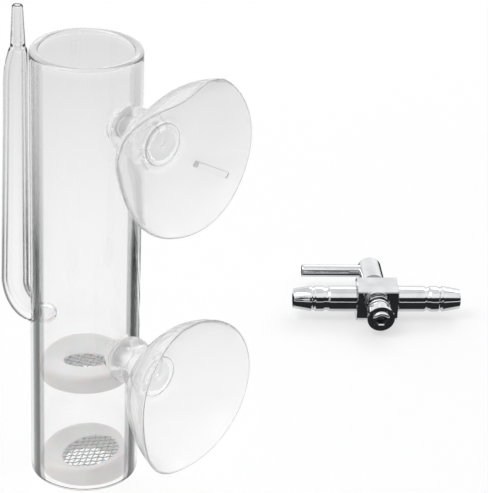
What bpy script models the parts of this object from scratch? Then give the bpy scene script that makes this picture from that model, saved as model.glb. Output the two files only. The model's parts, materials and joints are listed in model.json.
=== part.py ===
"""Aquarium gas diffuser set: a glass tube with two mesh floors, two suction cups and a lever valve.

The glass tube stands upright. Its gas arm runs down one side and opens into the tube above the upper
floor. The suction cups push onto glass pegs and point along +X. The valve lies beside the tube on its
own flat body, as it does before a hose joins the two.
The origin is the centre of the set's footprint, on the surface that it stands on.
"""

import math

import bmesh
import bpy
from mathutils import Euler, Matrix, Vector

MM = 0.001

# Clearances: a seam between fused or pushed-in pieces, and a running fit
SEAM = 0.15 * MM
RUNNING = 0.08 * MM
OVERCUT = 1.0 * MM

# Glass tube
TUBE_DIAMETER = 25.0 * MM
TUBE_WALL = 2.0 * MM
TUBE_HEIGHT = 106.0 * MM
TUBE_RADIUS = TUBE_DIAMETER / 2
BORE_RADIUS = TUBE_RADIUS - TUBE_WALL

# Gas arm: a drawn glass tube that widens down the side of the main tube and bends into its wall
ARM_AZIMUTH = math.radians(-130)
ARM_DIAMETER = 6.4 * MM
ARM_TOP_DIAMETER = 5.3 * MM
ARM_SHOULDER_DIAMETER = 4.2 * MM
ARM_WALL = 0.95 * MM
ARM_TIP_DIAMETER = 2.4 * MM
ARM_TIP_BORE = 1.3 * MM
ARM_TIP_ROOT_DIAMETER = 3.4 * MM
ARM_TIP_LENGTH = 9.6 * MM
ARM_SHOULDER_LENGTH = 0.8 * MM
ARM_SWELL_LENGTH = 6.0 * MM
ARM_INLET_DIAMETER = 5.0 * MM
ARM_INLET_HEIGHT = 41.0 * MM
ARM_BEND_HEIGHT = 9.0 * MM

# Inlet nozzle: the blown bulb with a small mouth where the arm opens inside the tube
NOZZLE_DIAMETER = 4.6 * MM
NOZZLE_MOUTH = 1.6 * MM
NOZZLE_REACH = 3.9 * MM
NOZZLE_SEAT = 0.8 * MM

# Mesh floors: a silicone ring with a sloping top and a woven wire disc moulded into its hole
FLOOR_THICKNESS = 4.0 * MM
FLOOR_EDGE_ROUND = 0.5 * MM
UPPER_FLOOR_BASE = 25.0 * MM
UPPER_FLOOR_HOLE = 10.8 * MM
UPPER_FLOOR_SLOPE = math.radians(1.5)
UPPER_MESH_SLOPE = math.radians(1.5)
LOWER_FLOOR_BASE = 0.2 * MM
LOWER_FLOOR_HOLE = 13.6 * MM
LOWER_FLOOR_SLOPE = math.radians(4)
LOWER_MESH_SLOPE = math.radians(10)
MESH_DEPTH = 1.3 * MM
MESH_PITCH = 1.2 * MM
MESH_WIRE = 0.36 * MM
MESH_GRIP = 0.9 * MM

# Suction cups on glass pegs
CUP_DIAMETER = 36.0 * MM
CUP_REACH = 22.4 * MM
CUP_DISH_DEPTH = 9.6 * MM
CUP_LIP = 0.5 * MM
CUP_NECK_DIAMETER = 10.6 * MM
CUP_STAND_OFF = 0.9 * MM
UPPER_CUP_BELOW_RIM = 14.0 * MM
UPPER_CUP_HEIGHT = TUBE_HEIGHT - UPPER_CUP_BELOW_RIM
LOWER_CUP_HEIGHT = 35.2 * MM
PEG_DIAMETER = 4.0 * MM
PEG_HEAD_DIAMETER = 5.8 * MM
PEG_LENGTH = 9.0 * MM

# Valve: a chamfered block with two hose tails, lying on its flat side
VALVE_RIGHT = 78.0 * MM
VALVE_BACK = 72.0 * MM
VALVE_YAW = math.radians(50)
BLOCK_WIDTH = 11.0 * MM
BLOCK_DEPTH = 7.5 * MM
BLOCK_HEIGHT = 10.5 * MM
BLOCK_CHAMFER = 1.4 * MM
TAIL_LENGTH = 17.0 * MM
TAIL_DIAMETER = 6.9 * MM
TAIL_TIP_DIAMETER = 5.3 * MM
TAIL_NOTCH_DEPTH = 0.35 * MM
TAIL_SPIGOT_DIAMETER = 4.8 * MM
TAIL_SPIGOT_LENGTH = 1.6 * MM
GAS_WAY_DIAMETER = 3.0 * MM

# Valve key: the turned plug with its lever, spring, cap and screw
PLUG_DIAMETER = 5.4 * MM
PLUG_TAPER = 0.25 * MM
HUB_DIAMETER = 6.5 * MM
HUB_LENGTH = 14.2 * MM
HUB_ROUND = 0.5 * MM
LEVER_DIAMETER = 3.4 * MM
LEVER_LENGTH = 18.8 * MM
LEVER_FROM_HUB_END = 2.2 * MM
LEVER_GRIP = 2.2 * MM
SPINDLE_DIAMETER = 3.5 * MM
WASHER_DIAMETER = 6.4 * MM
WASHER_THICKNESS = 0.6 * MM
SPRING_WIRE = 0.8 * MM
SPRING_TURNS = 2
SPRING_PITCH = 1.3 * MM
SPRING_DIAMETER = 6.2 * MM
CAP_DIAMETER = 7.0 * MM
CAP_FLANGE_DIAMETER = 7.3 * MM
CAP_FLANGE_THICKNESS = 0.7 * MM
CAP_LENGTH = 3.0 * MM
CAP_RECESS_DIAMETER = 5.2 * MM
CAP_RECESS_DEPTH = 0.3 * MM
CAP_SEAT_DEPTH = 1.0 * MM
SCREW_HEAD_DIAMETER = 4.8 * MM
SCREW_HEAD_HEIGHT = 1.2 * MM
SCREW_SOCKET = 2.6 * MM
SCREW_SOCKET_DEPTH = 0.8 * MM
SCREW_SHANK_DIAMETER = 1.8 * MM
SCREW_SHANK_LENGTH = 4.0 * MM

# Facets of turned pieces
TUBE_STEPS = 48
CUP_STEPS = 32
METAL_STEPS = 24
ARC_STEPS = 2


def clear_scene():
    """Start from an empty scene with one collection for the set and one for its cutters."""
    for thing in list(bpy.data.objects):
        bpy.data.objects.remove(thing)
    groups = []
    for name in ("gas_diffuser_set", "cutters"):
        group = bpy.data.collections.new(name)
        bpy.context.scene.collection.children.link(group)
        groups.append(group)
    return groups


PARTS, CUTTERS = clear_scene()


def finish(name, colour, roughness, metallic=0.0, transmission=0.0):
    """One Principled material."""
    material = bpy.data.materials.new(name)
    material.use_nodes = True
    shader = material.node_tree.nodes["Principled BSDF"]
    shader.inputs["Base Color"].default_value = (*colour, 1.0)
    shader.inputs["Roughness"].default_value = roughness
    shader.inputs["Metallic"].default_value = metallic
    shader.inputs["Transmission Weight"].default_value = transmission
    return material


GLASS = finish("borosilicate_glass", (0.95, 0.97, 0.97), 0.02, transmission=1.0)
SILICONE = finish("translucent_silicone", (0.72, 0.73, 0.73), 0.55, transmission=0.25)
CLEAR_PVC = finish("clear_soft_pvc", (0.93, 0.93, 0.92), 0.12, transmission=0.9)
STEEL_WIRE = finish("stainless_wire", (0.58, 0.58, 0.57), 0.3, metallic=1.0)
CHROME = finish("chromed_brass", (0.78, 0.78, 0.79), 0.08, metallic=1.0)


def frame(name, location=(0, 0, 0), turn=(0, 0, 0), parent=None):
    """An empty that carries pieces and sets their axes."""
    empty = bpy.data.objects.new(name, None)
    PARTS.objects.link(empty)
    empty.location = location
    empty.rotation_euler = Euler(turn)
    empty.parent = parent
    return empty


def place(name, mesh, carrier, material=None, location=(0, 0, 0), turn=(0, 0, 0)):
    """A named piece on its carrier, or a hidden cutter where no material is given."""
    piece = bpy.data.objects.new(name, mesh)
    (PARTS if material else CUTTERS).objects.link(piece)
    piece.parent = carrier
    piece.location = location
    piece.rotation_euler = Euler(turn)
    if material:
        mesh.materials.append(material)
    else:
        piece.hide_render = True
        piece.display_type = "WIRE"
    return piece


def arc(centre, radius, start, end, steps=ARC_STEPS):
    """Points of a rounded corner in a turned profile, in degrees from the radial direction."""
    angles = [math.radians(start + (end - start) * i / steps) for i in range(steps + 1)]
    return [(centre[0] + radius * math.cos(a), centre[1] + radius * math.sin(a)) for a in angles]


def turned(name, profile, steps, carrier, material=None, location=(0, 0, 0), turn=(0, 0, 0)):
    """A piece turned about its own Z from (radius, height) points that run down its outer side.

    A profile that starts and ends on the axis is a solid bar; any other is closed into a ring."""
    on_axis = profile[0][0] == 0 and profile[-1][0] == 0
    edges = [(i, i + 1) for i in range(len(profile) - 1)]
    if not on_axis:
        edges.append((len(profile) - 1, 0))
    mesh = bpy.data.meshes.new(name)
    mesh.from_pydata([(r, 0, z) for r, z in profile], edges, [])
    piece = place(name, mesh, carrier, material, location, turn)
    screw = piece.modifiers.new("turn", "SCREW")
    screw.steps = screw.render_steps = steps
    screw.use_merge_vertices = True
    screw.merge_threshold = 0.00001
    screw.use_smooth_shade = True
    return piece


def bar(name, radius, low, high, steps, carrier, turn=(0, 0, 0), location=(0, 0, 0)):
    """A plain round cutter from low to high along its own Z."""
    profile = [(0, high), (radius, high), (radius, low), (0, low)]
    return turned(name, profile, steps, carrier, None, location, turn)


def combine(piece, tool, operation="DIFFERENCE"):
    """Cut a piece by a tool, or join the tool to it."""
    modifier = piece.modifiers.new(operation.lower() + "_" + tool.name, "BOOLEAN")
    modifier.operation = operation
    modifier.object = tool


def tube_along(name, points, radii, sides, carrier, material=None):
    """A round solid along points, with its radius at each, as a mesh that Booleans can use."""
    curve = bpy.data.curves.new(name, "CURVE")
    curve.dimensions = "3D"
    curve.bevel_depth = 1.0
    curve.bevel_resolution = sides // 2 - 2
    curve.use_fill_caps = True
    spline = curve.splines.new("POLY")
    spline.points.add(len(points) - 1)
    for target, point, radius in zip(spline.points, points, radii):
        target.co = (*point, 1)
        target.radius = radius
    guide = bpy.data.objects.new(name + "_guide", curve)
    CUTTERS.objects.link(guide)
    bpy.context.view_layer.update()
    evaluated = guide.evaluated_get(bpy.context.evaluated_depsgraph_get())
    mesh = bpy.data.meshes.new_from_object(evaluated)
    bpy.data.objects.remove(guide)
    welded = bmesh.new()
    welded.from_mesh(mesh)
    bmesh.ops.remove_doubles(welded, verts=welded.verts, dist=0.000001)
    bmesh.ops.recalc_face_normals(welded, faces=welded.faces)
    welded.to_mesh(mesh)
    welded.free()
    mesh.name = name
    mesh.shade_smooth()
    return place(name, mesh, carrier, material)


ALONG_X = (0, math.pi / 2, 0)
ALONG_MINUS_X = (0, -math.pi / 2, 0)
ALONG_Y = (-math.pi / 2, 0, 0)

SET = frame("set_origin")
TUBE_FRAME = frame("tube_axis", parent=SET)
ARM_FRAME = frame("arm_side", turn=(0, 0, ARM_AZIMUTH), parent=TUBE_FRAME)


def arm_stations(overrun):
    """The gas arm from its tip down to the tube wall: offset from the tube, height, and diameter.

    The arm widens downwards and its inner side keeps a seam's distance from the tube."""
    hug = TUBE_RADIUS + SEAM
    bend_top = ARM_INLET_HEIGHT + ARM_BEND_HEIGHT
    tip_axis = hug + ARM_SHOULDER_DIAMETER / 2
    stations = [
        (tip_axis, TUBE_HEIGHT + ARM_TIP_LENGTH, ARM_TIP_DIAMETER),
        (tip_axis, TUBE_HEIGHT, ARM_TIP_ROOT_DIAMETER),
        (tip_axis, TUBE_HEIGHT - ARM_SHOULDER_LENGTH, ARM_SHOULDER_DIAMETER),
        (hug + ARM_TOP_DIAMETER / 2, TUBE_HEIGHT - ARM_SWELL_LENGTH, ARM_TOP_DIAMETER),
        (hug + ARM_DIAMETER / 2, bend_top, ARM_DIAMETER),
    ]
    inward = hug + ARM_DIAMETER / 2 - BORE_RADIUS + overrun
    bend_steps = 8
    for i in range(1, bend_steps + 1):
        share = i / bend_steps
        angle = math.radians(90) * share
        stations.append(
            (
                hug + ARM_DIAMETER / 2 - inward * (1 - math.cos(angle)),
                bend_top - ARM_BEND_HEIGHT * math.sin(angle),
                ARM_DIAMETER + (ARM_INLET_DIAMETER - ARM_DIAMETER) * share,
            )
        )
    return stations


def gas_arm(tube):
    """The side arm: drawn tip for a hose, widening run, and a bend that opens through the tube wall."""
    sides = 16
    stations = arm_stations(0)
    route = [(x, 0, z) for x, z, diameter in stations]
    arm = tube_along("gas_arm", route, [diameter / 2 for x, z, diameter in stations], sides, ARM_FRAME, GLASS)
    stations = arm_stations(OVERCUT)
    bore_route = [(x, 0, z) for x, z, diameter in stations]
    bore_route[0] = (bore_route[0][0], 0, bore_route[0][2] + OVERCUT)
    inner = [max(diameter / 2 - ARM_WALL, ARM_TIP_BORE / 2) for x, z, diameter in stations]
    bore = tube_along("arm_bore", bore_route, inner, sides, ARM_FRAME)
    combine(arm, bore)
    clear_radius = TUBE_RADIUS + SEAM
    combine(arm, bar("arm_saddle", clear_radius, 0, TUBE_HEIGHT, TUBE_STEPS, TUBE_FRAME))
    combine(tube, bore)


def inlet_nozzle(tube):
    """The bulb on the arm's opening: a domed glass nozzle let into the inside of the tube wall."""
    outer = NOZZLE_DIAMETER / 2
    inner = ARM_INLET_DIAMETER / 2 - ARM_WALL
    mouth = NOZZLE_MOUTH / 2
    tip = BORE_RADIUS - NOZZLE_REACH
    root = BORE_RADIUS + NOZZLE_SEAT
    dome = tip + math.sqrt(outer**2 - mouth**2)
    profile = [(inner, root), (outer, root)]
    profile += arc((0, dome), outer, 0, -math.degrees(math.acos(mouth / outer)), 2 * ARC_STEPS)
    profile += arc((0, dome), inner, -math.degrees(math.acos(mouth / inner)), 0, 2 * ARC_STEPS)
    level = (0, 0, ARM_INLET_HEIGHT)
    turned("inlet_nozzle", profile, METAL_STEPS, ARM_FRAME, GLASS, level, ALONG_X)
    seat = bar("nozzle_seat", outer + SEAM, dome, root + SEAM, METAL_STEPS, ARM_FRAME, ALONG_X, level)
    combine(tube, seat)


def main_tube():
    """The open glass tube with fire-polished rims."""
    rim = TUBE_WALL / 2
    foot = TUBE_WALL / 4
    middle = TUBE_RADIUS - rim
    profile = arc((middle, TUBE_HEIGHT - rim), rim, 90, 0, 2 * ARC_STEPS)
    profile += arc((TUBE_RADIUS - foot, foot), foot, 0, -90)
    profile += arc((BORE_RADIUS + foot, foot), foot, -90, -180)
    profile += arc((middle, TUBE_HEIGHT - rim), rim, 180, 90, 2 * ARC_STEPS)[:-1]
    return turned("main_tube", profile, TUBE_STEPS, TUBE_FRAME, GLASS)


def mesh_disc(name, radius, height, slope):
    """A disc of square-woven wire, cut from a grid of square gaps."""
    count = 2 * math.ceil(radius / MESH_PITCH)
    net = bmesh.new()
    bmesh.ops.create_grid(net, x_segments=count, y_segments=count, size=count * MESH_PITCH / 2)
    corner = MESH_PITCH * math.sqrt(0.5) + MESH_WIRE / 2
    outside = [f for f in net.faces if f.calc_center_median().length + corner > radius]
    bmesh.ops.delete(net, geom=outside, context="FACES")
    mesh = bpy.data.meshes.new(name)
    net.to_mesh(mesh)
    net.free()
    disc = place(name, mesh, ARM_FRAME, STEEL_WIRE, (0, 0, height), (0, slope, 0))
    wires = disc.modifiers.new("wires", "WIREFRAME")
    wires.thickness = MESH_WIRE
    wires.use_even_offset = False
    wires.use_boundary = True


def mesh_floor(level, base, hole, slope, mesh_slope):
    """A silicone ring pushed into the tube, and its wire disc, each sloping down towards the arm."""
    outer = BORE_RADIUS - SEAM
    inner = hole / 2
    edge = FLOOR_EDGE_ROUND
    top = base + FLOOR_THICKNESS
    blank = FLOOR_THICKNESS + outer * math.tan(slope) + OVERCUT
    profile = [(inner, blank), (outer, blank)]
    profile += arc((outer - edge, edge), edge, 0, -90)
    profile += arc((inner + edge, edge), edge, -90, -180)
    ring = turned(f"{level}_silicone_ring", profile, TUBE_STEPS, TUBE_FRAME, SILICONE, (0, 0, base))
    above = bar(f"{level}_ring_top", TUBE_DIAMETER, 0, blank, TUBE_STEPS, ARM_FRAME, (0, slope, 0), (0, 0, top))
    combine(ring, above)
    grip = inner + MESH_GRIP
    mesh_disc(f"{level}_wire_mesh", grip, top - MESH_DEPTH, mesh_slope)
    half_slot = MESH_WIRE / 2 + SEAM
    slot = bar(
        f"{level}_mesh_slot",
        grip + SEAM,
        -half_slot,
        half_slot,
        TUBE_STEPS,
        ARM_FRAME,
        (0, mesh_slope, 0),
        (0, 0, top - MESH_DEPTH),
    )
    combine(ring, slot)


def glass_peg(level, height):
    """A short glass peg with a rounded head, fused square to the tube wall."""
    neck = PEG_DIAMETER / 2
    head = PEG_HEAD_DIAMETER / 2
    tip = CUP_STAND_OFF + PEG_LENGTH
    waist = tip - 2 * head
    profile = arc((0, tip - head), head, 90, -40, 2 * ARC_STEPS)
    profile[0] = (0, tip)
    profile += [(neck, waist), (neck, CUP_STAND_OFF), (neck + CUP_STAND_OFF, 0)]
    profile += [(neck + CUP_STAND_OFF, -TUBE_WALL / 2), (0, -TUBE_WALL / 2)]
    start = (TUBE_RADIUS, 0, height)
    peg = turned(f"{level}_glass_peg", profile, CUP_STEPS, TUBE_FRAME, GLASS, start, ALONG_X)
    saddle_radius = TUBE_RADIUS + SEAM
    saddle = bar(f"{level}_peg_saddle", saddle_radius, 0, TUBE_HEIGHT, TUBE_STEPS, TUBE_FRAME)
    combine(peg, saddle)


def cup_socket():
    """The blind hole in the cup's neck, from its bottom to its mouth, a seam wider than the peg."""
    neck = PEG_DIAMETER / 2 + SEAM
    head = PEG_HEAD_DIAMETER / 2 + SEAM
    bottom = PEG_LENGTH + SEAM
    socket = arc((0, bottom - head), head, 90, -40, 2 * ARC_STEPS)
    socket[0] = (0, bottom)
    return socket + [(neck, bottom - 2 * head), (neck, 0)]


def suction_cup(level, height):
    """A clear moulded cup: ringed neck, flared dish with a thin lip, and a flat pad in its middle."""
    neck = CUP_NECK_DIAMETER / 2
    rim = CUP_DIAMETER / 2
    floor = CUP_REACH - CUP_DISH_DEPTH - CUP_STAND_OFF
    end = CUP_REACH - CUP_STAND_OFF
    pad = 0.9 * neck
    moat = 0.7 * MM
    groove = 0.9 * MM
    ring = floor / 5
    wall = 1.7 * MM
    dish = rim - neck
    profile = [(0, floor), (pad, floor), (pad, floor - moat), (pad + moat, floor - moat)]
    profile += [(pad + 2 * moat, floor + 0.3 * moat)]
    flare_steps = 5
    for i in range(1, flare_steps + 1):
        share = i / flare_steps
        profile.append((neck + dish * share, floor + CUP_DISH_DEPTH * share**1.25))
    profile[-1] = (rim - CUP_LIP, end)
    back = [(rim, end - CUP_LIP / 2)]
    for i in range(flare_steps - 1, 0, -1):
        share = i / flare_steps
        thick = CUP_LIP + (wall - CUP_LIP) * (1 - share)
        back.append((neck + dish * share, floor + CUP_DISH_DEPTH * share**1.25 - thick))
    back += [(neck, floor - 1.3 * wall), (neck - groove, 3.6 * ring), (neck - groove, 3.2 * ring)]
    back += [(neck - groove / 3, 2.9 * ring), (neck - groove / 3, 2.2 * ring)]
    back += [(neck - groove, 1.9 * ring), (neck - groove, 1.6 * ring), (neck, 1.2 * ring)]
    back += [(neck, 0.3 * ring), (neck - groove, 0)]
    profile += back + cup_socket()[::-1]
    start = (TUBE_RADIUS + CUP_STAND_OFF, 0, height)
    turned(f"{level}_suction_cup", profile, CUP_STEPS, TUBE_FRAME, CLEAR_PVC, start, ALONG_X)


VALVE_FRAME = frame(
    "valve_axes",
    Matrix.Rotation(VALVE_YAW, 3, "Z") @ Vector((VALVE_RIGHT, VALVE_BACK, BLOCK_HEIGHT / 2)),
    (0, 0, VALVE_YAW),
    SET,
)


def plug_radius(y):
    """The tapered plug's radius across the block, widest on the lever's side."""
    return PLUG_DIAMETER / 2 + PLUG_TAPER * (y / BLOCK_DEPTH - 0.5)


def valve_block():
    """The chamfered block, bored for the plug, the gas way and the two hose tails."""
    solid = bmesh.new()
    size = (BLOCK_WIDTH, BLOCK_DEPTH, BLOCK_HEIGHT)
    bmesh.ops.create_cube(solid, size=1.0, matrix=Matrix.Diagonal((*size, 1)))
    long_edges = [e for e in solid.edges if abs(e.verts[0].co.x - e.verts[1].co.x) > BLOCK_WIDTH / 2]
    bmesh.ops.bevel(solid, geom=long_edges, offset=BLOCK_CHAMFER, segments=1, affect="EDGES")
    mesh = bpy.data.meshes.new("valve_block")
    solid.to_mesh(mesh)
    solid.free()
    block = place("valve_block", mesh, VALVE_FRAME, CHROME)
    half = BLOCK_DEPTH / 2 + OVERCUT
    ends = [(plug_radius(y) + RUNNING, y) for y in (half, -half)]
    profile = [(0, half), *ends, (0, -half)]
    combine(block, turned("plug_bore", profile, METAL_STEPS, VALVE_FRAME, turn=ALONG_Y))
    half = BLOCK_WIDTH / 2 + OVERCUT
    gas_way = bar("gas_way", GAS_WAY_DIAMETER / 2, -half, half, METAL_STEPS, VALVE_FRAME, ALONG_X)
    combine(block, gas_way)
    socket = TAIL_SPIGOT_DIAMETER / 2 + SEAM
    depth = BLOCK_WIDTH / 2 - TAIL_SPIGOT_LENGTH - SEAM
    for side, turn in (("right", ALONG_X), ("left", ALONG_MINUS_X)):
        hole = bar(f"{side}_tail_socket", socket, depth, half, METAL_STEPS, VALVE_FRAME, turn)
        combine(block, hole)


def hose_tail(side, turn):
    """A barbed hose tail: plain land, two notches, and a tapered nose."""
    land = TAIL_DIAMETER / 2
    root = land - TAIL_NOTCH_DEPTH
    nose = TAIL_TIP_DIAMETER / 2
    bore = GAS_WAY_DIAMETER / 2
    spigot = TAIL_SPIGOT_DIAMETER / 2
    start = BLOCK_WIDTH / 2 + SEAM
    tip = BLOCK_WIDTH / 2 + TAIL_LENGTH
    barb = (TAIL_LENGTH - SEAM) / 17
    notch = 0.5 * barb
    face = 0.3 * MM
    first, second = start + 7 * barb, start + 11 * barb
    profile = [(bore, tip), (nose - face, tip), (nose, tip - face)]
    profile += [(land, second + 2.2 * notch), (root, second + notch), (root, second)]
    profile += [(land, first + 3 * notch), (root, first + notch), (root, first)]
    profile += [(land, first - notch), (land, start)]
    profile += [(spigot, start), (spigot, BLOCK_WIDTH / 2 - TAIL_SPIGOT_LENGTH)]
    profile += [(bore, BLOCK_WIDTH / 2 - TAIL_SPIGOT_LENGTH)]
    turned(f"{side}_hose_tail", profile, METAL_STEPS, VALVE_FRAME, CHROME, turn=turn)


HUB_START = BLOCK_DEPTH / 2 + SEAM
HUB_END = HUB_START + HUB_LENGTH
WASHER_START = -BLOCK_DEPTH / 2 - SEAM
SPRING_START = WASHER_START - WASHER_THICKNESS - SEAM
SPRING_LENGTH = SPRING_TURNS * SPRING_PITCH + SPRING_WIRE
CAP_START = SPRING_START - SPRING_LENGTH - SEAM
SPINDLE_END = CAP_START - CAP_SEAT_DEPTH + SEAM
CAP_END = CAP_START - CAP_LENGTH
SCREW_SEAT = CAP_END + CAP_RECESS_DEPTH


def valve_plug():
    """The turned key: lever hub, tapered plug with its cross hole, and a spindle for the spring."""
    hub = HUB_DIAMETER / 2
    spindle = SPINDLE_DIAMETER / 2
    back = -BLOCK_DEPTH / 2
    profile = [(0, HUB_END)] + arc((hub - HUB_ROUND, HUB_END - HUB_ROUND), HUB_ROUND, 90, 0)
    profile += [(hub, HUB_START), (plug_radius(HUB_START), HUB_START), (plug_radius(back), back)]
    profile += [(spindle, back), (spindle, SPINDLE_END), (0, SPINDLE_END)]
    plug = turned("valve_plug", profile, METAL_STEPS, VALVE_FRAME, CHROME, turn=ALONG_Y)
    across = PLUG_DIAMETER
    hole = bar("plug_cross_hole", GAS_WAY_DIAMETER / 2, -across, across, METAL_STEPS, VALVE_FRAME, ALONG_X)
    combine(plug, hole)
    lever_hole = bar(
        "lever_hole",
        LEVER_DIAMETER / 2 + SEAM,
        hub - LEVER_GRIP,
        HUB_DIAMETER,
        METAL_STEPS,
        VALVE_FRAME,
        ALONG_MINUS_X,
        (0, HUB_END - LEVER_FROM_HUB_END, 0),
    )
    combine(plug, lever_hole)
    shank = SCREW_SHANK_DIAMETER / 2 + SEAM
    depth = SCREW_SEAT + SCREW_SHANK_LENGTH + SEAM
    tapping = bar("spindle_tapping", shank, SPINDLE_END - OVERCUT, depth, METAL_STEPS, VALVE_FRAME, ALONG_Y)
    combine(plug, tapping)


def valve_lever():
    """The lever rod, pressed into the hub and lying along the hose tails when the valve is open."""
    radius = LEVER_DIAMETER / 2
    root = HUB_DIAMETER / 2 - LEVER_GRIP + SEAM
    ease = 0.25 * MM
    profile = [(0, LEVER_LENGTH), (radius - ease, LEVER_LENGTH), (radius, LEVER_LENGTH - ease)]
    profile += [(radius, root), (0, root)]
    along_hub = (0, HUB_END - LEVER_FROM_HUB_END, 0)
    turned("valve_lever", profile, METAL_STEPS, VALVE_FRAME, CHROME, along_hub, ALONG_MINUS_X)


def thrust_washer():
    """The flat washer that the spring bears on."""
    outer = WASHER_DIAMETER / 2
    inner = SPINDLE_DIAMETER / 2 + SEAM
    low = WASHER_START - WASHER_THICKNESS
    profile = [(outer, WASHER_START), (outer, low), (inner, low), (inner, WASHER_START)]
    turned("thrust_washer", profile, METAL_STEPS, VALVE_FRAME, CHROME, turn=ALONG_Y)


def plug_spring():
    """The coil spring round the spindle that draws the tapered plug into its bore."""
    points_per_turn = 10
    mean = (SPRING_DIAMETER - SPRING_WIRE) / 2
    count = SPRING_TURNS * points_per_turn
    coil = []
    for i in range(count + 1):
        angle = 2 * math.pi * i / points_per_turn
        along = SPRING_START - SPRING_WIRE / 2 - SPRING_PITCH * i / points_per_turn
        coil.append((mean * math.cos(angle), along, mean * math.sin(angle)))
    tube_along("plug_spring", coil, [SPRING_WIRE / 2] * len(coil), 6, VALVE_FRAME, CHROME)
    turn_gap = min(
        (Vector(coil[i]) - Vector(coil[j])).length - SPRING_WIRE
        for i in range(len(coil))
        for j in range(i + points_per_turn // 2, len(coil))
    )
    print(f"plug_spring: least gap between turns {turn_gap / MM:.2f} mm")


def retaining_cap():
    """The flanged cap that holds the spring on the spindle's end."""
    body = CAP_DIAMETER / 2
    flange = CAP_FLANGE_DIAMETER / 2
    step = CAP_END + CAP_FLANGE_THICKNESS
    seat = SPINDLE_DIAMETER / 2 + SEAM
    recess = CAP_RECESS_DIAMETER / 2
    hole = SCREW_SHANK_DIAMETER / 2 + SEAM
    profile = [(seat, CAP_START), (body, CAP_START), (body, step), (flange, step), (flange, CAP_END)]
    profile += [(recess, CAP_END), (recess, SCREW_SEAT), (hole, SCREW_SEAT)]
    profile += [(hole, CAP_START - CAP_SEAT_DEPTH), (seat, CAP_START - CAP_SEAT_DEPTH)]
    turned("retaining_cap", profile, METAL_STEPS, VALVE_FRAME, CHROME, turn=ALONG_Y)


def cap_screw():
    """The socket screw that clamps the cap to the spindle."""
    head = SCREW_HEAD_DIAMETER / 2
    shank = SCREW_SHANK_DIAMETER / 2
    seat = SCREW_SEAT - SEAM
    face = seat - SCREW_HEAD_HEIGHT
    tip = SCREW_SEAT + SCREW_SHANK_LENGTH
    profile = [(0, tip), (shank, tip), (shank, seat), (head, seat), (head, face), (0, face)]
    screw = turned("cap_screw", profile, METAL_STEPS, VALVE_FRAME, CHROME, turn=ALONG_Y)
    hexagon = 6
    across_corners = SCREW_SOCKET / math.cos(math.pi / hexagon)
    low, high = face - OVERCUT, face + SCREW_SOCKET_DEPTH
    combine(screw, bar("screw_socket", across_corners / 2, low, high, hexagon, VALVE_FRAME, ALONG_Y))


def stand_on_origin():
    """Move the set so that its origin is the middle of its footprint, and print where things lie."""
    bpy.context.view_layer.update()
    graph = bpy.context.evaluated_depsgraph_get()
    corners = []
    for piece in PARTS.objects:
        if piece.type == "MESH":
            seen = piece.evaluated_get(graph)
            corners += [seen.matrix_world @ Vector(c) for c in seen.bound_box]
    low = Vector([min(c[i] for c in corners) for i in range(3)])
    high = Vector([max(c[i] for c in corners) for i in range(3)])
    SET.location = (-(low.x + high.x) / 2, -(low.y + high.y) / 2, -low.z)
    bpy.context.view_layer.update()
    for carrier in (TUBE_FRAME, VALVE_FRAME):
        where = ", ".join(f"{v / MM:.3f}" for v in carrier.matrix_world.translation)
        print(f"{carrier.name}: at {where} mm")


def build():
    tube = main_tube()
    gas_arm(tube)
    inlet_nozzle(tube)
    mesh_floor("upper", UPPER_FLOOR_BASE, UPPER_FLOOR_HOLE, UPPER_FLOOR_SLOPE, UPPER_MESH_SLOPE)
    mesh_floor("lower", LOWER_FLOOR_BASE, LOWER_FLOOR_HOLE, LOWER_FLOOR_SLOPE, LOWER_MESH_SLOPE)
    for level, height in (("upper", UPPER_CUP_HEIGHT), ("lower", LOWER_CUP_HEIGHT)):
        glass_peg(level, height)
        suction_cup(level, height)
    valve_block()
    hose_tail("right", ALONG_X)
    hose_tail("left", ALONG_MINUS_X)
    valve_plug()
    valve_lever()
    thrust_washer()
    plug_spring()
    retaining_cap()
    cap_screw()
    stand_on_origin()


build()
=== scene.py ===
# %% [markdown]
# # A glass gas diffuser for an aquarium
# An open glass tube with a side arm for gas, two mesh floors in silicone rings, two clear suction cups,
# and a small chromed lever valve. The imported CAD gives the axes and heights, and the sizes typed here
# follow its solids. This script dresses them with smooth shapes, real materials and studio light.

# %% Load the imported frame
import json
from collections import namedtuple
from math import atan2, cos, degrees, hypot, pi, radians, sin, sqrt, tan

import bmesh
import bpy
import numpy as np
from mathutils import Matrix, Vector


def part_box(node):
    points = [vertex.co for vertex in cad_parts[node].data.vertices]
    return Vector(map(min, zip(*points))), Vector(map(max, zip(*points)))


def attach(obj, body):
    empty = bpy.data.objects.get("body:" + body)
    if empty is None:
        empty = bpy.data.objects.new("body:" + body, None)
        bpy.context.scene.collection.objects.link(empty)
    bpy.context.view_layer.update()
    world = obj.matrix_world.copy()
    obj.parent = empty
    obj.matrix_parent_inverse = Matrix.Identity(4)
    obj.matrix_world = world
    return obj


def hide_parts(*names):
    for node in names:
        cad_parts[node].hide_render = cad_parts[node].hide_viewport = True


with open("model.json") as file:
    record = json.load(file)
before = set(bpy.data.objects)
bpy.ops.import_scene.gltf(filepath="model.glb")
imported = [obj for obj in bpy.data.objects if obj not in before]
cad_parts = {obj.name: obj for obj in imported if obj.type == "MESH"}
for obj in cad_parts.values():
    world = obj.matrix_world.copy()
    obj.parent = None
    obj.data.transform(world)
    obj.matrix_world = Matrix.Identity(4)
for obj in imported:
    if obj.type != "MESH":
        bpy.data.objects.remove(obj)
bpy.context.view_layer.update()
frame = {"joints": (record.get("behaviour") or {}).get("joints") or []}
MM = 0.001


def placed(name, data):
    """A new object in the scene, from a camera, a light or a mesh."""
    made = bpy.data.objects.new(name, data)
    bpy.context.scene.collection.objects.link(made)
    return made


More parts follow.
